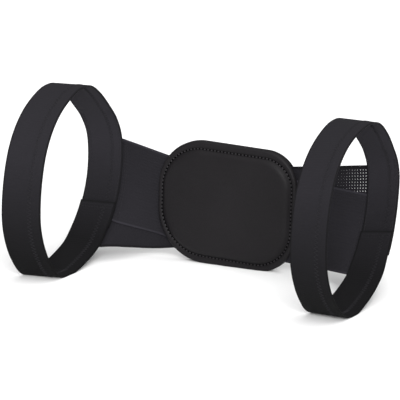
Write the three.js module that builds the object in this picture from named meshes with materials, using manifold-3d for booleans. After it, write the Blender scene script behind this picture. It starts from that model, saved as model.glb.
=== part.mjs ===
// A posture corrector: two elastic arm loops, joined across the back by a pair of wide elastic
// straps that cross in a shallow X, with a padded leatherette back pad sewn on over the crossing.
// Millimetres, +Z up. The wearer's back is on the -Y side, and the arms go through the loops along X.
import * as THREE from 'three';
import Module from 'manifold-3d';

// Back pad: two panels sewn together round their rim, with the straps running between them.
const PAD_WIDTH = 140;
const PAD_HEIGHT = 114;
const PAD_PRESS = 1; // how much of its lower rim is pressed flat where it stands
const PAD_TILT = -2.1; // degrees in its own plane, negative with its right end lower
const PAD_TOP_LEFT_RADIUS = 45;
const PAD_TOP_RIGHT_RADIUS = 32;
const PAD_BOTTOM_RIGHT_RADIUS = 40;
const PAD_BOTTOM_LEFT_RADIUS = 47;
const PAD_BORDER = 6.5; // from the rim in to the stitch line
const PAD_SHOULDER = 9; // from the stitch line in to the flat of the cushion
const PAD_RIM_THICKNESS = 2.2;
const PAD_STITCH_THICKNESS = 3.4;
const PAD_CUSHION_THICKNESS = 7;
const PAD_BACK_THICKNESS = 2; // behind the straps
const PAD_BACK_BEVEL = 1.2;

// Straps: two layers of ribbed elastic, the front one lying on the rear one.
const STRAP_WIDTH = 78;
const STRAP_THICKNESS = 1.2;
const STRAP_END_MARGIN = 3; // from a strap's end to the outer edge of the loop's webbing

// Arm loops: one length of webbing each, its ends lapped behind the arm. The right one is deeper.
const WEBBING_WIDTH = 39;
const WEBBING_THICKNESS = 1.6;
const LEFT_LOOP_X = -128; // middle of the webbing, from the middle of the pad
const LEFT_LOOP_HEIGHT = 169;
const LEFT_LOOP_DEPTH = 149.5;
const LEFT_LAP_HEIGHT = 49; // height of the webbing's inner cut end
const RIGHT_LOOP_X = 160;
const RIGHT_LOOP_HEIGHT = 163.5;
const RIGHT_LOOP_DEPTH = 155;
const RIGHT_LAP_HEIGHT = 50;
const LOOP_PRESS = 1.2; // how much of a loop's underside is pressed flat where it stands
const LAP_LENGTH = 25;
const LAP_RAMP = 26; // over which the inner end of the webbing steps in off the outer end

const LAYER_GAP = 0.3; // between pieces that lie on each other
const CHANNEL_CLEARANCE = 1.2; // between a strap's edge and the sewn rim of the pad above or below it

// Side outline of a loop, from behind the arm over the top, down the front and back underneath.
// back and up are shares of the loop's depth and height: back 0 lies on the straps, up 0 on the floor.
const LOOP_OUTLINE = [
  { back: 0.0, up: 0.536 },
  { back: 0.006, up: 0.66 },
  { back: 0.065, up: 0.768 },
  { back: 0.162, up: 0.86 },
  { back: 0.269, up: 0.943 },
  { back: 0.384, up: 0.999 },
  { back: 0.517, up: 1.0 },
  { back: 0.65, up: 0.959 },
  { back: 0.769, up: 0.895 },
  { back: 0.862, up: 0.811 },
  { back: 0.931, up: 0.709 },
  { back: 0.976, up: 0.588 },
  { back: 1.0, up: 0.459 },
  { back: 1.0, up: 0.339 },
  { back: 0.965, up: 0.228 },
  { back: 0.893, up: 0.118 },
  { back: 0.789, up: 0.027 },
  { back: 0.659, up: 0.0 },
  { back: 0.521, up: 0.022 },
  { back: 0.382, up: 0.061 },
  { back: 0.257, up: 0.118 },
  { back: 0.156, up: 0.199 },
  { back: 0.077, up: 0.3 },
  { back: 0.025, up: 0.412 },
];

// How far the outer edge of each loop leans in from its inner edge, as a share of WEBBING_WIDTH.
// at is a share of the loop's length: 0 is the outline's first row, positive over the top.
const LOOP_LEAN = [
  { at: -0.5, left: -0.055, right: -0.19 },
  { at: -0.4, left: -0.085, right: -0.145 },
  { at: -0.32, left: -0.065, right: 0.015 },
  { at: -0.25, left: 0.02, right: 0.07 },
  { at: -0.16, left: -0.06, right: 0.245 },
  { at: -0.09, left: -0.095, right: 0.355 },
  { at: 0.0, left: -0.115, right: 0.37 },
  { at: 0.07, left: -0.01, right: 0.28 },
  { at: 0.12, left: 0.065, right: 0.16 },
  { at: 0.18, left: 0.04, right: 0.06 },
  { at: 0.25, left: 0.015, right: -0.045 },
  { at: 0.34, left: -0.005, right: -0.22 },
  { at: 0.5, left: -0.055, right: -0.19 },
];

// Height of the middle of each strap from the middle of the pad, as a share of STRAP_WIDTH.
// at is 0 on the left loop's inner edge and 1 on the right loop's.
const STRAP_ROUTE = [
  { at: -0.2, front: 0.286, rear: -0.228 },
  { at: 0.0, front: 0.161, rear: -0.196 },
  { at: 0.21, front: 0.012, rear: -0.089 },
  { at: 0.7, front: -0.1, rear: 0.05 },
  { at: 0.87, front: -0.13, rear: 0.111 },
  { at: 1.0, front: -0.164, rear: 0.16 },
  { at: 1.2, front: -0.21, rear: 0.18 },
];

// Fineness of the faceted surfaces.
const LOOP_STEPS = 96;
const WEBBING_STEPS_ACROSS = 4;
const STRAP_STEPS_ACROSS = 16;
const STRAP_STEPS_ALONG = [5, 16, 6, 16, 5]; // on each loop, to the pad and behind the pad, left to right
const PAD_CORNER_STEPS = 10;
const CHANNEL_STEPS = 16;

const LEFT_INNER_X = LEFT_LOOP_X + WEBBING_WIDTH / 2;
const RIGHT_INNER_X = RIGHT_LOOP_X - WEBBING_WIDTH / 2;
const STRAP_STACK = 2 * (LAYER_GAP + STRAP_THICKNESS); // from the loops' backs to the rear strap's
const PAD_MIDDLE_Z = PAD_HEIGHT / 2 - PAD_PRESS;

const webbing = { color: 0x2d2b33, roughness: 0.88, metalness: 0 };
const elastic = { color: 0x29272f, roughness: 0.92, metalness: 0 };
const leatherette = { color: 0x2b292a, roughness: 0.55, metalness: 0 };

const wasm = await Module();
wasm.setup();

function smoothstep(t) {
  const c = Math.min(1, Math.max(0, t));
  return c * c * (3 - 2 * c);
}

// Reads a column of a table at a place between its rows.
function readTable(table, at, column) {
  const found = table.findIndex((row) => row.at > at);
  const after = found < 0 ? table.length - 1 : Math.max(1, found);
  const from = table[after - 1];
  const to = table[after];
  return from[column] + ((to[column] - from[column]) * (at - from.at)) / (to.at - from.at);
}

// A loop's lean at a share of its length, averaged over a short stretch to round off the table's corners.
function leanAt(loop, turns) {
  const places = [-0.045, -0.03, -0.015, 0, 0.015, 0.03, 0.045].map((step) => turns + step);
  const leans = places.map((at) => readTable(LOOP_LEAN, at - Math.round(at), loop.side));
  return leans.reduce((sum, lean) => sum + lean, 0) / leans.length;
}

function makeLoop(side, innerX, depth, height) {
  const curve = new THREE.CatmullRomCurve3(
    LOOP_OUTLINE.map(({ back, up }) => new THREE.Vector3(0, -back * depth, up * height)),
    true,
    'centripetal',
  );
  curve.arcLengthDivisions = 1600;
  const rearHeight = pressFlat(LOOP_OUTLINE[0].up * height);
  return { side, innerX, outward: Math.sign(innerX), curve, length: curve.getLength(), rearHeight };
}

// The underside of a loop is pressed flat on the floor, and the rest of the loop sinks with it.
function pressFlat(z) {
  return Math.max(z, LOOP_PRESS) - LOOP_PRESS;
}

const leftLoop = makeLoop('left', LEFT_INNER_X, LEFT_LOOP_DEPTH, LEFT_LOOP_HEIGHT);
const rightLoop = makeLoop('right', RIGHT_INNER_X, RIGHT_LOOP_DEPTH, RIGHT_LOOP_HEIGHT);

// A point on the back or outside of a loop, or of a strap that lies on it, x being measured along the
// webbing's width. run is a length round the loop from the outline's first row, positive over the top.
function onLoop(loop, x, run) {
  const turns = run / loop.length;
  const share = ((turns % 1) + 1) % 1;
  const point = loop.curve.getPointAt(share);
  const tangent = loop.curve.getTangentAt(share);
  const normal = new THREE.Vector3(0, tangent.z, -tangent.y);
  const beyond = Math.max(0, (x - loop.innerX) * loop.outward);
  const lean = leanAt(loop, turns);
  point.addScaledVector(normal, -beyond * lean);
  point.x = x - loop.outward * beyond * (1 - Math.sqrt(1 - lean * lean));
  if (point.z < LOOP_PRESS) normal.set(0, 0, -1);
  point.z = pressFlat(point.z);
  return { point, normal };
}

// How closely the straps follow the loops: 0 behind the pad, 1 from a loop's inner edge outwards.
function followsLoop(x) {
  const padEdge = PAD_WIDTH / 2;
  const reach = x < 0 ? -LEFT_INNER_X - padEdge : RIGHT_INNER_X - padEdge;
  return smoothstep((Math.abs(x) - padEdge) / reach);
}

// The surface that the backs of the loops and the front of the straps share. Its height is measured
// along the surface: it is a true height behind the pad and at the first row of the loops' outline.
function sharedSurface(x, height) {
  const loop = x < 0 ? leftLoop : rightLoop;
  const flat = new THREE.Vector3(x, 0, height);
  return flat.lerp(onLoop(loop, x, height - loop.rearHeight).point, followsLoop(x));
}

function behindSharedSurface(x, height, offset) {
  const step = 0.5;
  const along = sharedSurface(x + step, height).sub(sharedSurface(x - step, height));
  const up = sharedSurface(x, height + step).sub(sharedSurface(x, height - step));
  const normal = up.cross(along).normalize();
  return sharedSurface(x, height).addScaledVector(normal, offset);
}

function mesh(name, geometry, material) {
  const made = new THREE.Mesh(geometry, new THREE.MeshStandardMaterial(material));
  made.name = name;
  return made;
}

// Makes a geometry from points and triangles, with the triangles turned to face outwards.
function closedGeometry(points, index) {
  const volume = index.reduce((sum, _, i) => {
    if (i % 3) return sum;
    const [a, b, c] = [points[index[i]], points[index[i + 1]], points[index[i + 2]]];
    return sum + a.dot(new THREE.Vector3().crossVectors(b, c));
  }, 0);
  const geometry = new THREE.BufferGeometry();
  geometry.setAttribute(
    'position',
    new THREE.Float32BufferAttribute(points.flatMap((p) => p.toArray()), 3),
  );
  geometry.setIndex(volume < 0 ? index.toReversed() : index);
  geometry.computeVertexNormals();
  return geometry;
}

// A closed solid through sections with the same number of points. Each end is closed by a ladder of
// quads between the two halves of its section.
function loft(sections) {
  const count = sections[0].length;
  const index = [];
  const quad = (a, b, c, d) => index.push(a, b, c, a, c, d);
  for (let s = 0; s + 1 < sections.length; s += 1) {
    for (let i = 0; i < count; i += 1) {
      const next = (i + 1) % count;
      quad(s * count + i, s * count + next, (s + 1) * count + next, (s + 1) * count + i);
    }
  }
  const last = (sections.length - 1) * count;
  for (let i = 0; i + 1 < count / 2; i += 1) {
    const across = count - 1 - i;
    quad(i, across, across - 1, i + 1);
    quad(last + i, last + i + 1, last + across - 1, last + across);
  }
  return closedGeometry(sections.flat(), index);
}

function toSolid(geometry) {
  return new wasm.Manifold(
    new wasm.Mesh({
      numProp: 3,
      vertProperties: new Float32Array(geometry.getAttribute('position').array),
      triVerts: new Uint32Array(geometry.getIndex().array),
    }),
  );
}

function cut(geometry, tool) {
  const { vertProperties, triVerts } = toSolid(geometry).subtract(toSolid(tool)).getMesh();
  const points = Array.from({ length: vertProperties.length / 3 }, (_, i) =>
    new THREE.Vector3().fromArray(vertProperties, 3 * i),
  );
  return closedGeometry(points, Array.from(triVerts));
}

// The run at which a loop's back, followed down from the outline's first row, reaches a height.
function runAtHeight(loop, height) {
  let run = 0;
  while (onLoop(loop, loop.innerX, run).point.z > height) run -= 0.25;
  return run;
}

// One arm loop. The webbing starts at its inner cut end, runs down, under, up the front, over the
// top and back down behind its own start.
function armLoop(loop, lapHeight) {
  const start = runAtHeight(loop, lapHeight);
  const total = loop.length + LAP_LENGTH;
  const sections = Array.from({ length: LOOP_STEPS + 1 }, (_, i) => {
    const travelled = (total * i) / LOOP_STEPS;
    const lapped = 1 - smoothstep((travelled - LAP_LENGTH) / LAP_RAMP);
    const outerFace = lapped * (WEBBING_THICKNESS + LAYER_GAP);
    const row = (depth) =>
      Array.from({ length: WEBBING_STEPS_ACROSS + 1 }, (__, j) => {
        const x = loop.innerX + (loop.outward * WEBBING_WIDTH * j) / WEBBING_STEPS_ACROSS;
        const { point, normal } = onLoop(loop, x, start - travelled);
        return point.addScaledVector(normal, -depth);
      });
    return [...row(outerFace), ...row(outerFace + WEBBING_THICKNESS).reverse()];
  });
  return loft(sections);
}

// The height of the middle of a strap, along the shared surface.
function strapMiddle(x, layer) {
  const at = (x - LEFT_INNER_X) / (RIGHT_INNER_X - LEFT_INNER_X);
  return PAD_MIDDLE_Z + STRAP_WIDTH * readTable(STRAP_ROUTE, at, layer);
}

// The places along X where a strap has a section, nearly to the outer edges of both loops' webbing.
function strapStations() {
  const reach = WEBBING_WIDTH / 2 - STRAP_END_MARGIN;
  const leftStops = [LEFT_LOOP_X - reach, LEFT_INNER_X, -PAD_WIDTH / 2];
  const rightStops = [PAD_WIDTH / 2, RIGHT_INNER_X, RIGHT_LOOP_X + reach];
  const stops = [...leftStops, ...rightStops];
  const inner = STRAP_STEPS_ALONG.flatMap((steps, s) =>
    Array.from({ length: steps }, (_, i) => THREE.MathUtils.lerp(stops[s], stops[s + 1], i / steps)),
  );
  return [...inner, stops.at(-1)];
}

function strap(layer, offset) {
  const sections = strapStations().map((x) => {
    const row = (depth) =>
      Array.from({ length: STRAP_STEPS_ACROSS + 1 }, (_, j) => {
        const across = STRAP_WIDTH * (j / STRAP_STEPS_ACROSS - 0.5);
        return behindSharedSurface(x, strapMiddle(x, layer) + across, depth);
      });
    return [...row(offset), ...row(offset + STRAP_THICKNESS).reverse()];
  });
  return loft(sections);
}

// The pad's rounded outline, drawn in by an inset, at a depth along Y, clockwise from the right end of
// its top edge. Its right and left halves have as many points each, as loft's ends need.
function padSection(inset, y) {
  const corners = [
    { right: 1, up: 1, radius: PAD_TOP_RIGHT_RADIUS, from: 90 },
    { right: 1, up: -1, radius: PAD_BOTTOM_RIGHT_RADIUS, from: 0 },
    { right: -1, up: -1, radius: PAD_BOTTOM_LEFT_RADIUS, from: -90 },
    { right: -1, up: 1, radius: PAD_TOP_LEFT_RADIUS, from: -180 },
  ];
  const tilt = THREE.MathUtils.degToRad(PAD_TILT);
  return corners.flatMap(({ right, up, radius, from }) =>
    Array.from({ length: PAD_CORNER_STEPS + 1 }, (_, i) => {
      const angle = THREE.MathUtils.degToRad(from - (90 * i) / PAD_CORNER_STEPS);
      const x = right * (PAD_WIDTH / 2 - radius) + (radius - inset) * Math.cos(angle);
      const z = up * (PAD_HEIGHT / 2 - radius) + (radius - inset) * Math.sin(angle);
      const turnedX = x * Math.cos(tilt) - z * Math.sin(tilt);
      const turnedZ = x * Math.sin(tilt) + z * Math.cos(tilt);
      return new THREE.Vector3(turnedX, y, Math.max(0, PAD_MIDDLE_Z + turnedZ));
    }),
  );
}

// Front panel: a flat rim, a slope up to the stitch line, then a shoulder up to the flat cushion.
function padFront() {
  const cushionInset = PAD_BORDER + PAD_SHOULDER;
  return loft([
    padSection(0, 0),
    padSection(0, -PAD_RIM_THICKNESS),
    padSection(PAD_BORDER, -PAD_STITCH_THICKNESS),
    padSection(PAD_BORDER + PAD_SHOULDER * 0.4, -(PAD_STITCH_THICKNESS + PAD_CUSHION_THICKNESS * 3) / 4),
    padSection(cushionInset, -PAD_CUSHION_THICKNESS),
  ]);
}

// Back panel: its rim closes on the front panel above and below the channel that holds the straps.
function padBack() {
  const rear = LAYER_GAP + STRAP_STACK + PAD_BACK_THICKNESS;
  const panel = loft([
    padSection(0, LAYER_GAP),
    padSection(0, rear - PAD_BACK_BEVEL),
    padSection(PAD_BACK_BEVEL, rear),
  ]);
  const edge = STRAP_WIDTH / 2 + CHANNEL_CLEARANCE;
  const channel = Array.from({ length: CHANNEL_STEPS + 1 }, (_, i) => {
    const x = PAD_WIDTH * 1.04 * (i / CHANNEL_STEPS - 0.5);
    const middles = [strapMiddle(x, 'front'), strapMiddle(x, 'rear')];
    const low = Math.min(...middles) - edge;
    const high = Math.max(...middles) + edge;
    const deep = STRAP_STACK + LAYER_GAP;
    return [
      new THREE.Vector3(x, 0, low),
      new THREE.Vector3(x, 0, high),
      new THREE.Vector3(x, deep, high),
      new THREE.Vector3(x, deep, low),
    ];
  });
  return cut(panel, loft(channel));
}

const model = new THREE.Group();
model.add(
  mesh('loop_left', armLoop(leftLoop, LEFT_LAP_HEIGHT), webbing),
  mesh('loop_right', armLoop(rightLoop, RIGHT_LAP_HEIGHT), webbing),
  mesh('strap_front', strap('front', LAYER_GAP), elastic),
  mesh('strap_rear', strap('rear', 2 * LAYER_GAP + STRAP_THICKNESS), elastic),
  mesh('pad_front', padFront(), leatherette),
  mesh('pad_back', padBack(), leatherette),
);

// The origin is the middle of the underside of the whole assembly.
const box = new THREE.Box3().setFromObject(model, true);
const middle = box.getCenter(new THREE.Vector3());
model.position.set(-middle.x, -middle.y, -box.min.z);

const part = new THREE.Group();
part.add(model);

export default part;
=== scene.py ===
"""A posture corrector: two elastic arm loops, two crossed back straps and a padded leatherette pad.

The shapes repeat the surfaces of part.mjs, in millimetres from the middle of the pad, with finer
grids and with the relief, seams and stitches that the plain solids leave out.
"""

import math

import bpy
import numpy as np
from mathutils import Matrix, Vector


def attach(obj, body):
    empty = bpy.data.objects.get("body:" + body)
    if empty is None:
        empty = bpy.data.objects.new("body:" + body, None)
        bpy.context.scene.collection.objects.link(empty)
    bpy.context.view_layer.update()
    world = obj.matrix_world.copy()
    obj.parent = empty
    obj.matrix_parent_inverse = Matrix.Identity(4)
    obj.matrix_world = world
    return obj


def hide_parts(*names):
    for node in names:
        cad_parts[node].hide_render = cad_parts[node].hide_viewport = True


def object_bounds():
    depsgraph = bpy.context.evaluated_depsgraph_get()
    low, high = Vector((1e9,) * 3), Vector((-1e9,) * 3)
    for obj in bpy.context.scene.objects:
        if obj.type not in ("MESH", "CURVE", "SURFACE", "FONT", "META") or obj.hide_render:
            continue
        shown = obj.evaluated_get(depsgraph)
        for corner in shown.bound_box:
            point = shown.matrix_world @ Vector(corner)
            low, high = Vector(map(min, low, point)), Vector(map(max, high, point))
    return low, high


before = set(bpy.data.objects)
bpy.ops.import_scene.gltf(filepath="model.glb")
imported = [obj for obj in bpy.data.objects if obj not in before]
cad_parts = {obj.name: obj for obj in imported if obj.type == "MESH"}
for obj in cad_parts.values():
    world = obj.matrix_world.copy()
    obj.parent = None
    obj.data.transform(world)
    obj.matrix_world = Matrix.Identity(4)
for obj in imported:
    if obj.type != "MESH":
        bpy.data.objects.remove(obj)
CAD_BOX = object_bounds()

# ---------------------------------------------------------------- sizes, as in part.mjs
PAD_WIDTH, PAD_HEIGHT, PAD_PRESS, PAD_TILT = 140.0, 114.0, 1.0, -2.1
PAD_RADII = {(1, 1): 32.0, (1, -1): 40.0, (-1, -1): 47.0, (-1, 1): 45.0}
PAD_BACK = 5.3  # from the front panel's underside to the pad's back
STRAP_WIDTH, STRAP_THICKNESS, STRAP_END_MARGIN = 78.0, 1.2, 3.0
WEBBING_WIDTH, WEBBING_THICKNESS = 39.0, 1.6
LEFT_LOOP_X, RIGHT_LOOP_X = -128.0, 160.0
LEFT_LOOP_DEPTH, RIGHT_LOOP_DEPTH = 149.5, 155.0
LEFT_LOOP_HEIGHT, RIGHT_LOOP_HEIGHT = 169.0, 163.5
LEFT_LAP_HEIGHT, RIGHT_LAP_HEIGHT = 49.0, 50.0  # heights of the webbing's outer ends
LOOP_PRESS, LAP_LENGTH, LAP_RAMP = 1.2, 25.0, 26.0
LAYER_GAP, CHANNEL_CLEARANCE = 0.3, 1.2
PAD_MIDDLE_Z = PAD_HEIGHT / 2 - PAD_PRESS
LEFT_INNER_X = LEFT_LOOP_X + WEBBING_WIDTH / 2
RIGHT_INNER_X = RIGHT_LOOP_X - WEBBING_WIDTH / 2
LEFT_OUTER_X = LEFT_LOOP_X - WEBBING_WIDTH / 2

# share of a loop's depth towards the front and of its height: from the back, up and over
LOOP_OUTLINE = np.array([
    (0, 0.536), (0.006, 0.66), (0.065, 0.768), (0.162, 0.86), (0.269, 0.943), (0.384, 0.999),
    (0.517, 1), (0.65, 0.959), (0.769, 0.895), (0.862, 0.811), (0.931, 0.709), (0.976, 0.588),
    (1, 0.459), (1, 0.339), (0.965, 0.228), (0.893, 0.118), (0.789, 0.027), (0.659, 0),
    (0.521, 0.022), (0.382, 0.061), (0.257, 0.118), (0.156, 0.199), (0.077, 0.3), (0.025, 0.412),
])
# share of the loop's length, lean of the left loop, lean of the right loop
LOOP_LEAN = np.array([
    (-0.5, -0.055, -0.19), (-0.4, -0.085, -0.145), (-0.32, -0.065, 0.015), (-0.25, 0.02, 0.07),
    (-0.16, -0.06, 0.245), (-0.09, -0.095, 0.355), (0, -0.115, 0.37), (0.07, -0.01, 0.28),
    (0.12, 0.065, 0.16), (0.18, 0.04, 0.06), (0.25, 0.015, -0.045), (0.34, -0.005, -0.22),
    (0.5, -0.055, -0.19),
])
LEFT_LEAN, RIGHT_LEAN = 1, 2  # columns of the table above
LEAN_SPREAD, LEAN_SAMPLES = 0.045, 7  # share of the loop's length to both sides, places averaged
# share of the way between the loops, middle of the front strap, middle of the rear strap
STRAP_ROUTE = np.array([
    (-0.2, 0.286, -0.228), (0, 0.161, -0.196), (0.21, 0.012, -0.089),
    (0.7, -0.1, 0.05), (0.87, -0.13, 0.111), (1, -0.164, 0.16),
    (1.2, -0.21, 0.18),
])
FRONT, REAR = 1, 2  # columns of the table above
SHIFT = np.array([CAD_BOX[0].x * 1000 - LEFT_OUTER_X, CAD_BOX[1].y * 1000 - PAD_BACK, 0.0])


def to_frame(points):
    """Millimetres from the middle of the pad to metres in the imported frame."""
    return (np.asarray(points) + SHIFT) / 1000


def smoothstep(t):
    t = np.clip(t, 0.0, 1.0)
    return t * t * (3 - 2 * t)


def read_table(table, at, column):
    places, values = table[:, 0], table[:, column]
    k = np.clip(np.searchsorted(places, at, side="right"), 1, len(places) - 1)
    share = (at - places[k - 1]) / (places[k] - places[k - 1])
    return values[k - 1] + (values[k] - values[k - 1]) * share


def lean_at(turns, column):
    """A loop's lean, averaged over a short stretch to round off the table's corners."""
    spread = np.linspace(-LEAN_SPREAD, LEAN_SPREAD, LEAN_SAMPLES)
    places = turns + spread.reshape((LEAN_SAMPLES,) + (1,) * np.ndim(turns))
    return read_table(LOOP_LEAN, places - np.round(places), column).mean(axis=0)


def press_flat(z):
    return np.maximum(z, LOOP_PRESS) - LOOP_PRESS


def running_length(points):
    """The distance along a line of points from its first point to each."""
    return np.concatenate([[0], np.cumsum(np.linalg.norm(np.diff(points, axis=0), axis=1))])


def read_along(values, lengths, at):
    """Rows of values read at distances along the line that they belong to."""
    return np.stack([np.interp(at, lengths, column) for column in values.T], -1)


# ---------------------------------------------------------------- the loops' and straps' surfaces
OUTLINE_SAMPLES, TANGENT_STEP, LAP_SEARCH_STEP = 1601, 1e-4, 0.25


class Loop:
    """One arm loop's outline, read by the length run round it from the outline's first row."""

    def __init__(self, column, inner_x, depth, height, lap_height):
        self.column, self.inner_x, self.outward = column, inner_x, math.copysign(1, inner_x)
        self.knots = LOOP_OUTLINE * (-depth, height)
        self.parameters = np.linspace(0, 1, OUTLINE_SAMPLES)
        self.lengths = running_length(self.at_parameter(self.parameters))
        self.length = self.lengths[-1]
        self.rear_height = float(press_flat(LOOP_OUTLINE[0, 1] * height))
        runs = -np.arange(0, self.length / 2, LAP_SEARCH_STEP)
        heights = self.surface(np.full(runs.shape, inner_x), runs)[0][:, 2]
        self.start = runs[np.argmax(heights <= lap_height)]

    def at_parameter(self, t):
        """The outline at a share t of its rows, on a centripetal spline through them."""
        count = len(self.knots)
        place = np.asarray(t) % 1 * count
        i = np.floor(place).astype(int)
        w = (place - i)[..., None]
        p0, p1, p2, p3 = (self.knots[(i + k) % count] for k in (-1, 0, 1, 2))
        d0, d1, d2 = (
            np.sqrt(np.linalg.norm(b - a, axis=-1, keepdims=True))
            for a, b in ((p0, p1), (p1, p2), (p2, p3))
        )
        t1 = ((p1 - p0) / d0 - (p2 - p0) / (d0 + d1) + (p2 - p1) / d1) * d1
        t2 = ((p2 - p1) / d1 - (p3 - p1) / (d1 + d2) + (p3 - p2) / d2) * d1
        square, cube = -3 * p1 + 3 * p2 - 2 * t1 - t2, 2 * p1 - 2 * p2 + t1 + t2
        return p1 + t1 * w + square * w**2 + cube * w**3

    def surface(self, x, run):
        """Point and outward normal of the loop's outside, or of a strap that lies on it."""
        x, run = np.broadcast_arrays(np.asarray(x, float), np.asarray(run, float))
        turns = run / self.length
        t = np.interp(turns % 1 * self.length, self.lengths, self.parameters)
        flat = self.at_parameter(t)
        tangent = self.at_parameter(t + TANGENT_STEP) - self.at_parameter(t - TANGENT_STEP)
        tangent /= np.linalg.norm(tangent, axis=-1, keepdims=True)
        normal = np.stack([np.zeros(x.shape), tangent[..., 1], -tangent[..., 0]], -1)
        beyond = np.maximum(0, (x - self.inner_x) * self.outward)
        lean = lean_at(turns, self.column)
        point = np.stack([x, flat[..., 0], flat[..., 1]], -1) - normal * (beyond * lean)[..., None]
        point[..., 0] = x - self.outward * beyond * (1 - np.sqrt(1 - lean**2))
        normal[point[..., 2] < LOOP_PRESS] = (0, 0, -1)
        point[..., 2] = press_flat(point[..., 2])
        return point, normal


LEFT = Loop(LEFT_LEAN, LEFT_INNER_X, LEFT_LOOP_DEPTH, LEFT_LOOP_HEIGHT, LEFT_LAP_HEIGHT)
RIGHT = Loop(RIGHT_LEAN, RIGHT_INNER_X, RIGHT_LOOP_DEPTH, RIGHT_LOOP_HEIGHT, RIGHT_LAP_HEIGHT)


def shared_surface(x, height):
    """The surface between the backs of the loops and the fronts of the straps."""
    x, height = np.broadcast_arrays(np.asarray(x, float), np.asarray(height, float))
    points = np.empty(x.shape + (3,))
    for loop, here in ((LEFT, x < 0), (RIGHT, x >= 0)):
        flat = np.stack([x[here], np.zeros(here.sum()), height[here]], -1)
        curved = loop.surface(x[here], height[here] - loop.rear_height)[0]
        reach = abs(loop.inner_x) - PAD_WIDTH / 2
        share = smoothstep((np.abs(x[here]) - PAD_WIDTH / 2) / reach)[:, None]
        points[here] = flat + (curved - flat) * share
    return points


def behind_shared(x, height, offset):
    """Points at an offset behind the shared surface, and its normals, which face the back."""
    step = 0.5
    along = shared_surface(x + step, height) - shared_surface(x - step, height)
    up = shared_surface(x, height + step) - shared_surface(x, height - step)
    normal = np.cross(up, along)
    normal /= np.linalg.norm(normal, axis=-1, keepdims=True)
    return shared_surface(x, height) + normal * np.asarray(offset)[..., None], normal


def strap_middle(x, layer):
    at = (x - LEFT_INNER_X) / (RIGHT_INNER_X - LEFT_INNER_X)
    return PAD_MIDDLE_Z + STRAP_WIDTH * read_table(STRAP_ROUTE, at, layer)


# ---------------------------------------------------------------- mesh helpers
def make_piece(name, vertices, faces, uv=None, sharp=50):
    """A mesh object from points in millimetres. uv is a value for each corner of each face.

    Edges that turn by more than the angle sharp, in degrees, are shaded as edges.
    """
    mesh = bpy.data.meshes.new(name)
    mesh.from_pydata(to_frame(vertices).tolist(), [], [list(face) for face in faces])
    if uv is not None:
        layer = mesh.uv_layers.new(name="cloth")
        layer.data.foreach_set("uv", np.asarray(uv, float).ravel() / 1000)
    mesh.polygons.foreach_set("use_smooth", [True] * len(mesh.polygons))
    mesh.set_sharp_from_angle(angle=math.radians(sharp))
    mesh.validate()
    piece = bpy.data.objects.new(name, mesh)
    bpy.context.collection.objects.link(piece)
    return piece


def loft(name, sections, along, across):
    """A closed solid through rings of points, with a UV of length along and distance across."""
    rows, count = sections.shape[:2]
    i, j = np.meshgrid(np.arange(rows - 1), np.arange(count), indexing="ij")
    k = (j + 1) % count
    corners = [(i, j, j), (i, k, j + 1), (i + 1, k, j + 1), (i + 1, j, j)]
    faces = np.stack([a * count + b for a, b, _ in corners], -1).reshape(-1, 4)
    across = np.append(across, across[0])
    uv = np.stack([np.stack([along[a], across[c]], -1) for a, _, c in corners], -2).reshape(-1, 2)
    half = np.arange(count // 2 - 1)
    ladder = np.stack([half, count - 1 - half, count - 2 - half, half + 1], -1)
    last = (rows - 1) * count
    caps = np.concatenate([ladder, last + ladder[:, ::-1]])
    caps_uv = np.stack([along[caps // count], across[caps % count]], -1)
    faces = np.concatenate([faces, caps])
    uv = np.concatenate([uv, caps_uv.reshape(-1, 2)])
    return make_piece(name, sections.reshape(-1, 3), faces[:, ::-1], uv.reshape(-1, 4, 2)[:, ::-1])


def band_ring(width, thickness, steps, corner=3):
    """Places round a band's section: distance across, and depth as a share of the thickness."""
    round_off = thickness / 2
    turn = np.linspace(0, math.pi, corner + 2)[1:-1]
    flat = np.linspace(round_off, width - round_off, steps + 1)
    far = np.stack([width - round_off + round_off * np.sin(turn), 0.5 - 0.5 * np.cos(turn)], -1)
    near = np.stack([round_off - round_off * np.sin(turn), 0.5 + 0.5 * np.cos(turn)], -1)
    top = np.stack([flat, np.zeros(steps + 1)], -1)
    under = np.stack([flat[::-1], np.ones(steps + 1)], -1)
    return np.concatenate([top, far, under, near])


# ---------------------------------------------------------------- arm loops
RIB_PITCH, RIB_RELIEF, ROWS_PER_RIB, WEBBING_COLUMNS = 2.6, 0.045, 5, 14
INNER_FACE = 100.0  # added to the UV map's distances across on the webbing's inner face


def webbing_surface(loop, travelled, across, depth):
    """A point at a depth in a loop's webbing, and the normal that leads out of the loop."""
    lapped = 1 - smoothstep((travelled - LAP_LENGTH) / LAP_RAMP)
    inset = lapped * (WEBBING_THICKNESS + LAYER_GAP)
    x = loop.inner_x + loop.outward * across
    point, normal = loop.surface(x, loop.start - travelled)
    return point - normal * (inset + depth)[..., None], normal


def inner_line(loop, travelled, across):
    """Points on the inner face of a loop's webbing, and the normals of its outer face."""
    return webbing_surface(loop, travelled, across, np.full(travelled.shape, WEBBING_THICKNESS))


def webbing(name, loop):
    """A loop's webbing as a piece, and its flat length."""
    total = loop.length + LAP_LENGTH
    travelled = np.linspace(0, total, int(total / RIB_PITCH * ROWS_PER_RIB) + 1)
    ring = band_ring(WEBBING_WIDTH, WEBBING_THICKNESS, WEBBING_COLUMNS)
    u, v = np.meshgrid(travelled, ring[:, 0], indexing="ij")
    share = np.broadcast_to(ring[:, 1], u.shape)
    rib = RIB_RELIEF * (1 - np.cos(2 * math.pi * u / RIB_PITCH))
    depth = WEBBING_THICKNESS / 2 + (share - 0.5) * (WEBBING_THICKNESS - 2 * rib)
    sections = webbing_surface(loop, u, v, depth)[0]
    across = ring[:, 0] + INNER_FACE * (ring[:, 1] > 0.5)
    return loft(name, sections, travelled, across), total


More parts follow.
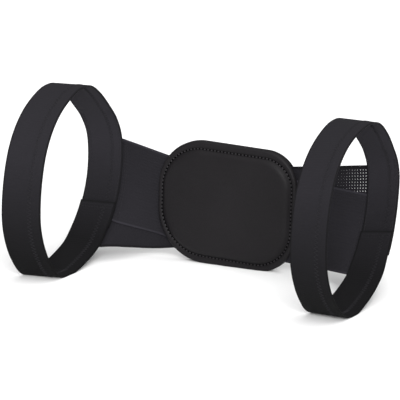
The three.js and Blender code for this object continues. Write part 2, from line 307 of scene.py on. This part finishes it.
# ---------------------------------------------------------------- back straps
STRAP_LOW_X = LEFT_OUTER_X + STRAP_END_MARGIN
STRAP_HIGH_X = RIGHT_LOOP_X + WEBBING_WIDTH / 2 - STRAP_END_MARGIN
STRAP_OFFSET = {FRONT: LAYER_GAP, REAR: 2 * LAYER_GAP + STRAP_THICKNESS}
STRAP_RIB_PITCH, STRAP_STATIONS, COLUMNS_PER_RIB = 2.7, 170, 6
GROOVE_DEPTH, GROOVE_POWER = 0.22, 0.7  # a lower power makes the grooves narrower


def strap_points(x, v, depth, layer):
    """Points of a strap at distances v across it, at depths in from its front face."""
    height = strap_middle(x, layer) + v - STRAP_WIDTH / 2
    return behind_shared(x, height, STRAP_OFFSET[layer] + depth)[0]


def ribbed_strap(name, layer):
    step = (STRAP_HIGH_X - STRAP_LOW_X) / STRAP_STATIONS
    stations = np.arange(STRAP_LOW_X, STRAP_HIGH_X + 0.1, step)
    ribs = round(STRAP_WIDTH / STRAP_RIB_PITCH)
    ring = band_ring(STRAP_WIDTH, STRAP_THICKNESS, ribs * COLUMNS_PER_RIB)
    u, v = np.meshgrid(stations, ring[:, 0], indexing="ij")
    share = np.broadcast_to(ring[:, 1], u.shape)
    groove = GROOVE_DEPTH * (1 - np.abs(np.sin(math.pi * v * ribs / STRAP_WIDTH)) ** GROOVE_POWER)
    depth = STRAP_THICKNESS / 2 + (share - 0.5) * (STRAP_THICKNESS - 2 * groove)
    return loft(name, strap_points(u, v, depth, layer), stations, ring[:, 0])


NET_PITCH = 2.7
NET_OPENS_X, NET_STRETCH_RUN = 104.0, 38.0  # where the holes open, and the run they widen over
NET_DIMPLE, NET_LEAST_HOLE, NET_WIDENING = 0.3, 0.14, 0.3  # half widths
NET_HOLE_ASPECT, NET_HOLE_CORNER = 0.8, 0.8
NET_LIPS = (0.3, 0.7)  # depths of a hole's two rims, as shares of the thickness
NET_UNDER_PAD = 4.0  # how far the holes run in under the pad
EDGE_CORNERS = [(0, 0), (1, 0), (2, 0), (2, 1), (1, 1), (0, 1)]  # half cells along an edge, side


def net_strap(name, layer):
    """A woven net. Its holes go through at the stretched right end and are dimples elsewhere."""
    columns = round((STRAP_HIGH_X - STRAP_LOW_X) / NET_PITCH)
    rows = round(STRAP_WIDTH / NET_PITCH)
    step_x, step_v = (STRAP_HIGH_X - STRAP_LOW_X) / columns, STRAP_WIDTH / rows
    ring = [(-1, -1), (0, -1), (1, -1), (1, 0), (1, 1), (0, 1), (-1, 1), (-1, 0)]
    vertices, faces, uv, shared = [], [], [], {}

    def add(x, v, depth):
        vertices.append((x, v, depth))
        return len(vertices) - 1

    def corner(a, b, side):
        key = (a, b, side)
        if key not in shared:
            shared[key] = add(STRAP_LOW_X + a * step_x / 2, b * step_v / 2, side)
        return shared[key]

    def face(*points):
        faces.append(points)
        uv.extend((vertices[p][0], vertices[p][1]) for p in points)

    for c in range(columns):
        x = STRAP_LOW_X + (c + 0.5) * step_x
        through = x > NET_OPENS_X
        stretch = float(smoothstep((x - NET_OPENS_X) / NET_STRETCH_RUN))
        open_x = NET_LEAST_HOLE + NET_WIDENING * stretch if through else NET_DIMPLE
        open_v = open_x * NET_HOLE_ASPECT
        bare = 1 <= c < columns - 1 and abs(x) > PAD_WIDTH / 2 - NET_UNDER_PAD
        for r in range(rows):
            v = (r + 0.5) * step_v
            outer = [[corner(2 * c + 1 + a, 2 * r + 1 + b, s) for a, b in ring] for s in (0, 1)]
            if bare and 1 <= r < rows - 1:
                hole = []
                for depth in NET_LIPS:
                    lip = []
                    for a, b in ring:
                        drawn_in = NET_HOLE_CORNER if a * b else 1
                        lip.append(add(x + a * open_x * drawn_in, v + b * open_v * drawn_in, depth))
                    hole.append(lip)
                for k in range(8):
                    m = (k + 1) % 8
                    face(outer[0][m], outer[0][k], hole[0][k], hole[0][m])
                    face(outer[1][k], outer[1][m], hole[1][m], hole[1][k])
                    if through:
                        face(hole[0][m], hole[0][k], hole[1][k], hole[1][m])
                if not through:
                    face(*hole[0][::-1])
                    face(*hole[1])
            else:
                face(*outer[0][::-1])
                face(*outer[1])
    for b in range(0, 2 * rows, 2):
        for a, out in ((0, 1), (2 * columns, -1)):
            edge = [(a, b + k, s) for k, s in EDGE_CORNERS]
            face(*[corner(*p) for p in edge][::-out])
    for a in range(0, 2 * columns, 2):
        for b, out in ((0, -1), (2 * rows, 1)):
            edge = [(a + k, b, s) for k, s in EDGE_CORNERS]
            face(*[corner(*p) for p in edge][::-out])
    flat = np.array(vertices)
    points = strap_points(flat[:, 0], flat[:, 1], flat[:, 2] * STRAP_THICKNESS, layer)
    return make_piece(name, points, faces, uv)


# ---------------------------------------------------------------- pad
BORDER_TOP, BORDER_SIDE = 6.8, 4.2
RIM_POINTS, ARC_SAMPLES = 420, 80


def pad_outline():
    """Points round the pad's rim at even spacing, and the directions that lead out of it."""
    points, outs = [], []
    for ((right, up), radius), first in zip(PAD_RADII.items(), (90, 0, -90, -180)):
        angle = np.radians(np.linspace(first, first - 90, ARC_SAMPLES))
        out = np.stack([np.cos(angle), np.sin(angle)], -1)
        middle = np.array([right * (PAD_WIDTH / 2 - radius), up * (PAD_HEIGHT / 2 - radius)])
        points.append(middle + radius * out)
        outs.append(out)
    points, outs = np.concatenate(points), np.concatenate(outs)
    points, outs = np.vstack([points, points[:1]]), np.vstack([outs, outs[:1]])
    lengths = running_length(points)
    at = np.linspace(0, lengths[-1], RIM_POINTS, endpoint=False)
    outs = read_along(outs, lengths, at)
    return read_along(points, lengths, at), outs / np.linalg.norm(outs, axis=-1, keepdims=True)


RIM, RIM_OUT = pad_outline()
BORDER = BORDER_SIDE + (BORDER_TOP - BORDER_SIDE) * np.abs(RIM_OUT[:, 1])


def pad_ring(inset, spread=1.0):
    """The x and z of a ring drawn in from the pad's rim by the inset, then scaled by the spread."""
    ring = (RIM - RIM_OUT * np.asarray(inset)[..., None]) * spread
    tilt = math.radians(PAD_TILT)
    x = ring[:, 0] * math.cos(tilt) - ring[:, 1] * math.sin(tilt)
    z = ring[:, 0] * math.sin(tilt) + ring[:, 1] * math.cos(tilt)
    return x, np.maximum(0, PAD_MIDDLE_Z + z)


def pad_layer(inset, y, spread=1.0):
    """The points of a ring of the pad that lies flat at one y."""
    x, z = pad_ring(inset, spread)
    return np.stack([x, np.full(x.shape, y), z], -1)


# share of the way in from the rim to the stitch line, and height of the panel there
BORDER_PROFILE = [
    (0, 0), (0, 0.9), (0.02, 1.6), (0.07, 2.3), (0.15, 2.85), (0.28, 3.3), (0.42, 3.5),
    (0.56, 3.5), (0.7, 3.35), (0.82, 3.1), (0.92, 2.8), (1.0, 2.65),
]
# distance in from the stitch line, and height of the cushion there
CUSHION_PROFILE = [
    (0.4, 2.75), (0.9, 3.15), (1.5, 3.8), (2.3, 4.7), (3.2, 5.5), (4.4, 6.2), (6.0, 6.75),
    (8.5, 7.05), (12.0, 7.15),
]
CROWN = 0.25  # how far the cushion's middle rises past the profile's last height
CUSHION_RINGS, SMALLEST_RING = 22, 0.02
# distance in from the rim, and distance of the back panel's outside from the pad's back there
BACKING_PROFILE = [
    (0.0, 1.3), (0.15, 0.8), (0.6, 0.3), (1.3, 0.05), (3.0, 0.0), (5.6, 0.1), (6.3, 0.6),
    (6.6, 0.7), (6.9, 0.6), (7.8, 0.1), (12.0, 0.0), (20.0, 0.0),
]
BACKING_FRONT_INSETS = (0.0, 2.0, 6.0, 12.0, 20.0)
BACKING_FRONT_RINGS, BACKING_BACK_RINGS = 30, 14
CHANNEL_DEPTH = 3.0


def closed_faces(rings):
    """The faces of a solid through rings of points, with its two ends filled."""
    count = len(rings[0])
    faces = []
    for r in range(len(rings) - 1):
        for i in range(count):
            j = (i + 1) % count
            faces.append((r * count + i, r * count + j, (r + 1) * count + j, (r + 1) * count + i))
    faces.append(tuple(range((len(rings) - 1) * count, len(rings) * count)))
    faces.append(tuple(range(count))[::-1])
    return faces


def pad_face(name):
    rings = [pad_layer(BORDER * share, -height) for share, height in BORDER_PROFILE]
    rings += [pad_layer(BORDER + inset, -height) for inset, height in CUSHION_PROFILE]
    inset, height = CUSHION_PROFILE[-1]
    for spread in np.linspace(1, SMALLEST_RING, CUSHION_RINGS)[1:]:
        rings.append(pad_layer(BORDER + inset, -(height + CROWN * (1 - spread**2)), spread))
    return make_piece(name, np.concatenate(rings), closed_faces(rings), sharp=70)


def channel_share(x, z):
    """1 where the straps pass between the pad's panels, 0 where the panels meet."""
    middles = np.stack([strap_middle(x, FRONT), strap_middle(x, REAR)])
    edge = STRAP_WIDTH / 2 + CHANNEL_CLEARANCE
    low, high = middles.min(axis=0) - edge, middles.max(axis=0) + edge
    return ((z > low) & (z < high)).astype(float)


def pad_backing(name):
    insets = [(inset, 1.0) for inset in BACKING_FRONT_INSETS]
    for spread in np.linspace(1, SMALLEST_RING, BACKING_FRONT_RINGS)[1:]:
        insets.append((BACKING_FRONT_INSETS[-1], spread))
    front = []
    for inset, spread in insets:
        x, z = pad_ring(inset, spread)
        front.append(np.stack([x, LAYER_GAP + CHANNEL_DEPTH * channel_share(x, z), z], -1))
    back = [pad_layer(inset, PAD_BACK - drop) for inset, drop in BACKING_PROFILE]
    for spread in np.linspace(1, SMALLEST_RING, BACKING_BACK_RINGS)[1:]:
        back.append(pad_layer(BACKING_PROFILE[-1][0], PAD_BACK, spread))
    rings = front[::-1] + back
    faces = [face[::-1] for face in closed_faces(rings)]
    return make_piece(name, np.concatenate(rings), faces, sharp=60)


# ---------------------------------------------------------------- stitches
# share of a stitch's length, and its rise and radius there as shares of the largest
STITCH_PROFILE = [
    (0.0, -0.25, 0.5), (0.12, 0.5, 0.85), (0.35, 0.95, 1.0), (0.65, 0.95, 1.0),
    (0.88, 0.5, 0.85), (1.0, -0.25, 0.5),
]
STITCH_SIDES = 6


def stitches(name, starts, ends, normals, radius, rise):
    """Separate stitches of thread, each arched out of the cloth between two needle holes."""
    starts, ends, normals = (np.asarray(a, float) for a in (starts, ends, normals))
    along = ends - starts
    along /= np.linalg.norm(along, axis=1, keepdims=True)
    side = np.cross(normals, along)
    side /= np.linalg.norm(side, axis=1, keepdims=True)
    turn = np.linspace(0, 2 * math.pi, STITCH_SIDES + 1)[:-1]
    points = []
    for share, lift, width in STITCH_PROFILE:
        centre = starts + (ends - starts) * share + normals * (lift * rise)
        for angle in turn:
            spoke = side * math.cos(angle) + normals * math.sin(angle)
            points.append(centre + width * radius * spoke)
    block = np.stack(points, 1)
    size = block.shape[1]
    faces = []
    for base in range(0, len(starts) * size, size):
        for row in range(base, base + size - STITCH_SIDES, STITCH_SIDES):
            for k in range(STITCH_SIDES):
                m = (k + 1) % STITCH_SIDES
                faces.append((row + k, row + m, row + STITCH_SIDES + m, row + STITCH_SIDES + k))
        faces.append(tuple(range(base, base + STITCH_SIDES))[::-1])
        faces.append(tuple(range(base + size - STITCH_SIDES, base + size)))
    return make_piece(name, block.reshape(-1, 3), faces)


def row_of(points, normals, stitch, gap):
    """Starts, ends and normals of stitches spaced evenly along a line of points."""
    lengths = running_length(points)
    count = int(lengths[-1] / (stitch + gap))
    pitch = lengths[-1] / count
    at = np.arange(count) * pitch + gap / 2
    starts = read_along(points, lengths, at)
    ends = read_along(points, lengths, at + pitch - gap)
    middles = read_along(normals, lengths, at + (pitch - gap) / 2)
    return starts, ends, middles / np.linalg.norm(middles, axis=1, keepdims=True)


def join_rows(rows):
    return [np.concatenate(parts) for parts in zip(*rows)]


# ---------------------------------------------------------------- materials
def node(tree, kind, inputs=None, **settings):
    made = tree.nodes.new(kind)
    for key, value in settings.items():
        setattr(made, key, value)
    for key, value in (inputs or {}).items():
        if isinstance(value, bpy.types.NodeSocket):
            tree.links.new(value, made.inputs[key])
        else:
            made.inputs[key].default_value = value
    return made


def calculated(tree, operation, *values):
    """A maths node's result from sockets or numbers."""
    return node(tree, "ShaderNodeMath", dict(enumerate(values)), operation=operation).outputs[0]


def scaled(tree, colour, factor):
    inputs = {0: colour, "Scale": factor}
    return node(tree, "ShaderNodeVectorMath", inputs, operation="SCALE").outputs[0]


def ramp(tree, value, start, end, first=0.0, last=1.0):
    """first where the value is at the start, last where it is at the end, and between them."""
    inputs = {"Value": value, 1: start, 2: end, 3: first, 4: last}
    return node(tree, "ShaderNodeMapRange", inputs).outputs[0]


def noise(tree, place, scale, detail):
    inputs = {"Vector": place, "Scale": scale, "Detail": detail}
    return node(tree, "ShaderNodeTexNoise", inputs).outputs[0]


def bumped(tree, shader, height, strength, distance):
    inputs = {"Height": height, "Strength": strength, "Distance": distance}
    bump = node(tree, "ShaderNodeBump", inputs)
    tree.links.new(bump.outputs[0], shader.inputs["Normal"])


def new_material(name, roughness, specular=0.5):
    material = bpy.data.materials.new(name)
    material.use_nodes = True
    shader = material.node_tree.nodes["Principled BSDF"]
    shader.inputs["Roughness"].default_value = roughness
    shader.inputs["Specular IOR Level"].default_value = specular
    return material, material.node_tree, shader


def mixed(tree, factor, first, second):
    mix = node(tree, "ShaderNodeMix", data_type="RGBA")
    tree.links.new(factor, mix.inputs[0])
    for socket, value in ((mix.inputs[6], first), (mix.inputs[7], second)):
        if isinstance(value, bpy.types.NodeSocket):
            tree.links.new(value, socket)
        else:
            socket.default_value = (*value, 1)
    return mix.outputs[2]


def wave(tree, vector, direction, pitch):
    """Bands at a pitch along one direction of the vector, slightly wavy as threads are."""
    inputs = {
        "Vector": vector, "Scale": math.pi / 10 / pitch, "Distortion": 0.3, "Detail": 1.0,
        "Detail Scale": 2.0,
    }
    settings = {"wave_type": "BANDS", "bands_direction": direction}
    return node(tree, "ShaderNodeTexWave", inputs, **settings).outputs["Fac"]


# painted shade: the loops' webbing darkens towards the floor, between these two heights, to this
# share of its dark colour
LOW_PAINTED_SHADE_FROM, LOW_PAINTED_SHADE_TO, LOW_PAINTED_SHADE = 0.115, 0.02, 0.2  # heights in metres, share of dark
# painted light: the webbing's inner face is made paler by this factor
INNER_FACE_PAINTED_LIGHT = 1.55
# painted shade at the lap: the webbing darkens to this colour over its cut end's first millimetres,
# distances in metres
CUT_END_FROM, CUT_END_TO, CUT_END_PAINTED_SHADE = 0.0019, 0.0013, (0.003, 0.003, 0.0035)
# painted shade or painted highlight along the bands' two edges: width of its blend, in metres
EDGE_PAINTED_BLEND = 0.0006


def cloth_material(name, dark, light, threads, relief, width, edge_painted_light, edge_painted_width, is_webbing=False):
    """Woven cloth, with threads at two pitches, laid out by the UV map along and across the band.

    Its two edges carry painted shade or a painted highlight, as a share of the rest. The loops'
    webbing also has painted shade near the floor, as in the photo, and at its cut end, and painted
    light that makes its inner face paler.
    """
    material, tree, shader = new_material(name, 1.0, 0.15)
    uv = node(tree, "ShaderNodeUVMap", uv_map="cloth").outputs[0]
    place = node(tree, "ShaderNodeTexCoord").outputs["Object"]
    weft = wave(tree, uv, "X", threads[0])
    warp = wave(tree, uv, "Y", threads[1])
    weave = calculated(tree, "MULTIPLY", weft, warp)
    fuzz = noise(tree, place, 900.0, 3.0)
    patch = noise(tree, place, 28.0, 3.0)
    grain = calculated(tree, "MULTIPLY", weave, 0.55)
    spots = calculated(tree, "MULTIPLY_ADD", fuzz, 0.3, grain)
    tone = calculated(tree, "MULTIPLY_ADD", patch, 0.5, spots)
    colour = mixed(tree, tone, dark, light)
    travelled, across = node(tree, "ShaderNodeSeparateXYZ", {"Vector": uv}).outputs[:2]
    if is_webbing:
        rise = node(tree, "ShaderNodeSeparateXYZ", {"Vector": place}).outputs[2]
        # Painted shade: the webbing is darker towards the floor.
        low = ramp(tree, rise, LOW_PAINTED_SHADE_FROM, LOW_PAINTED_SHADE_TO)
        colour = mixed(tree, low, colour, tuple(LOW_PAINTED_SHADE * c for c in dark))
        inside = calculated(tree, "GREATER_THAN", across, INNER_FACE / 2000)
        across = calculated(tree, "MULTIPLY_ADD", inside, -INNER_FACE / 1000, across)
        # Painted light: the inner face is paler than the outer face.
        colour = mixed(tree, inside, colour, scaled(tree, colour, INNER_FACE_PAINTED_LIGHT))
        # Painted shade along the webbing's cut end at the lap.
        cut = ramp(tree, travelled, CUT_END_FROM, CUT_END_TO)
        colour = mixed(tree, cut, colour, CUT_END_PAINTED_SHADE)
    # Painted shade or a painted highlight along the two edges: darker on the webbing and the net,
    # lighter on the ribbed elastic.
    from_middle = calculated(tree, "SUBTRACT", across, width / 2)
    out = calculated(tree, "ABSOLUTE", from_middle)
    start = width / 2 - edge_painted_width
    edge = ramp(tree, out, start, start + EDGE_PAINTED_BLEND)
    colour = mixed(tree, edge, colour, scaled(tree, colour, edge_painted_light))
    tree.links.new(colour, shader.inputs["Base Color"])
    bumped(tree, shader, calculated(tree, "MULTIPLY_ADD", fuzz, 0.35, weave), 0.7, relief)
    tree.links.new(ramp(tree, patch, 0, 1, 0.88, 1.0), shader.inputs["Roughness"])
    return material


def leather_material(name, dark, light):
    material, tree, shader = new_material(name, 0.5, 0.1)
    place = node(tree, "ShaderNodeTexCoord").outputs["Object"]
    warp = noise(tree, place, 260.0, 2.0)
    inputs = {"Vector": place, "Scale": 1050.0}
    cells = node(tree, "ShaderNodeTexVoronoi", inputs, feature="SMOOTH_F1").outputs["Distance"]
    patch = noise(tree, place, 22.0, 4.0)
    tree.links.new(mixed(tree, patch, dark, light), shader.inputs["Base Color"])
    bumped(tree, shader, calculated(tree, "MULTIPLY_ADD", warp, 0.6, cells), 0.35, 0.0003)
    tree.links.new(ramp(tree, patch, 0, 1, 0.46, 0.58), shader.inputs["Roughness"])
    return material


def thread_material(name, dark, light, specular=0.2):
    material, tree, shader = new_material(name, 0.8, specular)
    place = node(tree, "ShaderNodeTexCoord").outputs["Object"]
    fibre = noise(tree, place, 2500.0, 2.0)
    tree.links.new(mixed(tree, fibre, dark, light), shader.inputs["Base Color"])
    bumped(tree, shader, fibre, 0.5, 0.0001)
    return material


WEBBING = cloth_material(
    "webbing", (0.0086, 0.008, 0.01), (0.0145, 0.0135, 0.0166), threads=(0.00065, 0.0009),
    relief=0.00012, width=WEBBING_WIDTH / 1000, edge_painted_light=0.4, edge_painted_width=0.0019, is_webbing=True,
)
ELASTIC = cloth_material(
    "elastic", (0.0072, 0.0067, 0.0085), (0.0118, 0.011, 0.0138), threads=(0.0011, 0.00068),
    relief=0.00014, width=STRAP_WIDTH / 1000, edge_painted_light=1.7, edge_painted_width=0.0022,
)
NET = cloth_material(
    "elastic_net", (0.0062, 0.0058, 0.0073), (0.0102, 0.0095, 0.012), threads=(0.0011, 0.00068),
    relief=0.00014, width=STRAP_WIDTH / 1000, edge_painted_light=0.5, edge_painted_width=0.0027,
)
LEATHER = leather_material("leatherette", (0.007, 0.0063, 0.0071), (0.0098, 0.0089, 0.0099))
THREAD = thread_material("thread", (0.018, 0.0168, 0.0186), (0.03, 0.028, 0.0308))
# Painted shade: a near-black piece between the pad's stitches stands for the shade inside the
# needle holes.
NEEDLE_HOLE_SHADE = thread_material(
    "needle_hole_painted_shade", (0.0003, 0.0003, 0.0003), (0.0008, 0.0008, 0.0008), specular=0.0
)
SEAM_THREAD = thread_material("seam_thread", (0.008, 0.0075, 0.0091), (0.0145, 0.0136, 0.0164))


# ---------------------------------------------------------------- the pieces
def dress(piece, material, slot, *nodes):
    piece.data.materials.append(material)
    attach(piece, "root")
    if nodes:
        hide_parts(*nodes)
    return piece


for loop, side in ((LEFT, "left"), (RIGHT, "right")):
    piece, total = webbing(f"loop_{side}_webbing", loop)
    dress(piece, WEBBING, "webbing", f"loop_{side}")

front_strap = dress(ribbed_strap("strap_front_rib", FRONT), ELASTIC, "elastic", "strap_front")
rear_strap = dress(net_strap("strap_rear_mesh", REAR), NET, "elastic", "strap_rear")

face = dress(pad_face("pad_face"), LEATHER, "leatherette", "pad_front")
backing = dress(pad_backing("pad_backing"), LEATHER, "leatherette", "pad_back")

# The seam round the pad.
PAD_STITCH, PAD_STITCH_GAP, PAD_SEAM_Y = 2.1, 1.4, -2.75
line = pad_layer(BORDER, PAD_SEAM_Y)
line = np.vstack([line, line[:1]])
out = np.tile([0.0, -1.0, 0.0], (len(line), 1))
starts, ends, outs = row_of(line, out, PAD_STITCH, PAD_STITCH_GAP)
pad_seam = stitches("pad_stitching", starts, ends, outs, radius=0.5, rise=0.55)
dress(pad_seam, THREAD, "leatherette")
# Near-black pieces between the stitches: painted shade for the needle holes.
nexts = np.roll(starts, -1, axis=0)
needle_hole_shades = stitches("pad_needle_hole_shades", ends, nexts, outs, radius=0.82, rise=0.27)
dress(needle_hole_shades, NEEDLE_HOLE_SHADE, "leatherette")

# On each loop a zigzag seam, on both faces, and the seams of its lap and of the straps sewn to it.
ZIGZAG_STEP, ZIGZAG_WIDTH, ZIGZAG_FROM_MIDDLE, ZIGZAG_FROM_END = 1.7, 4.2, 8.2, 4
OUTER_LAP_CLEAR, INNER_LAP_CLEAR = 1, 3  # from the lap, on the outer and the inner face
SEAM_STITCH, SEAM_STITCH_GAP = 2.2, 0.9
JOIN_SEAM_HIGH, JOIN_SEAM_LOW = 46, -38  # how far the seams along the strap's end reach
JOIN_SEAMS_ACROSS = (3.0, WEBBING_WIDTH - 4.5, WEBBING_WIDTH - 2.5)
FRONT_SEAM_REACH, FRONT_SEAMS_INSIDE = 34, (2.2, 4.4)
LAP_SEAM_MARGIN, LAP_SEAMS_FROM_END = 3, (3.4, 6.4)
for loop, side in ((LEFT, "left"), (RIGHT, "right")):
    total = loop.length + LAP_LENGTH
    middle = WEBBING_WIDTH / 2 + loop.outward * ZIGZAG_FROM_MIDDLE
    count = int((total - 2 * ZIGZAG_FROM_END) / ZIGZAG_STEP)
    at = ZIGZAG_FROM_END + np.arange(count + 1) * ZIGZAG_STEP
    swing = middle + ZIGZAG_WIDTH / 2 * np.where(np.arange(count + 1) % 2, 1, -1)
    rows = []
    for depth, out in ((0.0, 1), (WEBBING_THICKNESS, -1)):
        points, normals = webbing_surface(loop, at, swing, np.full(at.shape, depth))
        if out > 0:
            free = at[:-1] > LAP_LENGTH + OUTER_LAP_CLEAR
        else:
            free = at[:-1] < total - LAP_LENGTH - INNER_LAP_CLEAR
        rows.append((points[:-1][free], points[1:][free], (normals[:-1] * out)[free]))
    seams = []
    run = np.linspace(JOIN_SEAM_HIGH, JOIN_SEAM_LOW, 60)
    for across in JOIN_SEAMS_ACROSS:
        seams.append(inner_line(loop, loop.length + loop.start - run, np.full(run.shape, across)))
    reach = np.linspace(-FRONT_SEAM_REACH, FRONT_SEAM_REACH, 50)
    for inside in FRONT_SEAMS_INSIDE:
        x = np.full(reach.shape, loop.inner_x - loop.outward * inside)
        gap = np.full(x.shape, LAYER_GAP)
        seams.append(behind_shared(x, strap_middle(x, FRONT) + reach, gap))
    lap = np.linspace(LAP_SEAM_MARGIN, WEBBING_WIDTH - LAP_SEAM_MARGIN, 24)
    for travelled in LAP_SEAMS_FROM_END:
        seams.append(inner_line(loop, np.full(lap.shape, travelled), lap))
    for points, normals in seams:
        rows.append(row_of(points, -normals, SEAM_STITCH, SEAM_STITCH_GAP))
    seam = stitches(f"loop_{side}_stitches", *join_rows(rows), radius=0.24, rise=0.12)
    dress(seam, SEAM_THREAD, "webbing")

# ---------------------------------------------------------------- floor, light and camera
FLOOR_RADIUS, FLOOR_SIDES, FLOOR_SHADE = 8, 96, 0.85
WORLD_STRENGTH = 0.25
CAMERA_AZIMUTH, CAMERA_ELEVATION, CAMERA_DISTANCE = 28, 13, 3.0
CAMERA_LENS, SENSOR_WIDTH, CLIP_END = 297, 36, 30
CAMERA_LEFT, CAMERA_UP = 0.02491, 0.00409  # sideways and upward shifts, in metres
TARGET_HEIGHT = 57.3  # in millimetres

floor_mesh = bpy.data.meshes.new("floor")
turns = np.linspace(0, 2 * math.pi, FLOOR_SIDES + 1)[:-1]
ring = [(FLOOR_RADIUS * math.cos(a), FLOOR_RADIUS * math.sin(a), 0) for a in turns]
floor_mesh.from_pydata(ring, [], [tuple(range(FLOOR_SIDES))])
floor = bpy.data.objects.new("floor", floor_mesh)
bpy.context.collection.objects.link(floor)
floor_material, tree, shader = new_material("floor", 0.9)
shader.inputs["Base Color"].default_value = (FLOOR_SHADE, FLOOR_SHADE, FLOOR_SHADE, 1)
floor_mesh.materials.append(floor_material)

world = bpy.data.worlds.new("studio")
world.use_nodes = True
world.node_tree.nodes["Background"].inputs["Color"].default_value = (1, 1, 1, 1)
world.node_tree.nodes["Background"].inputs["Strength"].default_value = WORLD_STRENGTH
bpy.context.scene.world = world


def sun(name, strength, direction, angle):
    light = bpy.data.lights.new(name, "SUN")
    light.energy, light.angle = strength, math.radians(angle)
    holder = bpy.data.objects.new(name, light)
    holder.rotation_mode = "QUATERNION"
    holder.rotation_quaternion = Vector(direction).to_track_quat("Z", "Y")
    bpy.context.collection.objects.link(holder)


sun("key", 4.2, (0.6, -0.95, 0.46), 30)
sun("top", 2.75, (0.25, -0.2, 1.0), 80)
bpy.context.scene.view_settings.view_transform = "Standard"

azimuth, elevation = math.radians(CAMERA_AZIMUTH), math.radians(CAMERA_ELEVATION)
back = Vector((
    math.sin(azimuth) * math.cos(elevation), -math.cos(azimuth) * math.cos(elevation),
    math.sin(elevation),
))
right = Vector((math.cos(azimuth), math.sin(azimuth), 0))
up = back.cross(right)
target = Vector(to_frame((0, 0, TARGET_HEIGHT)))
camera_data = bpy.data.cameras.new("camera")
camera_data.lens, camera_data.sensor_width = CAMERA_LENS, SENSOR_WIDTH
camera_data.clip_end = CLIP_END
camera = bpy.data.objects.new("camera", camera_data)
camera.rotation_mode = "QUATERNION"
camera.rotation_quaternion = back.to_track_quat("Z", "Y")
camera.location = target + back * CAMERA_DISTANCE - right * CAMERA_LEFT + up * CAMERA_UP
bpy.context.collection.objects.link(camera)
bpy.context.scene.camera = camera
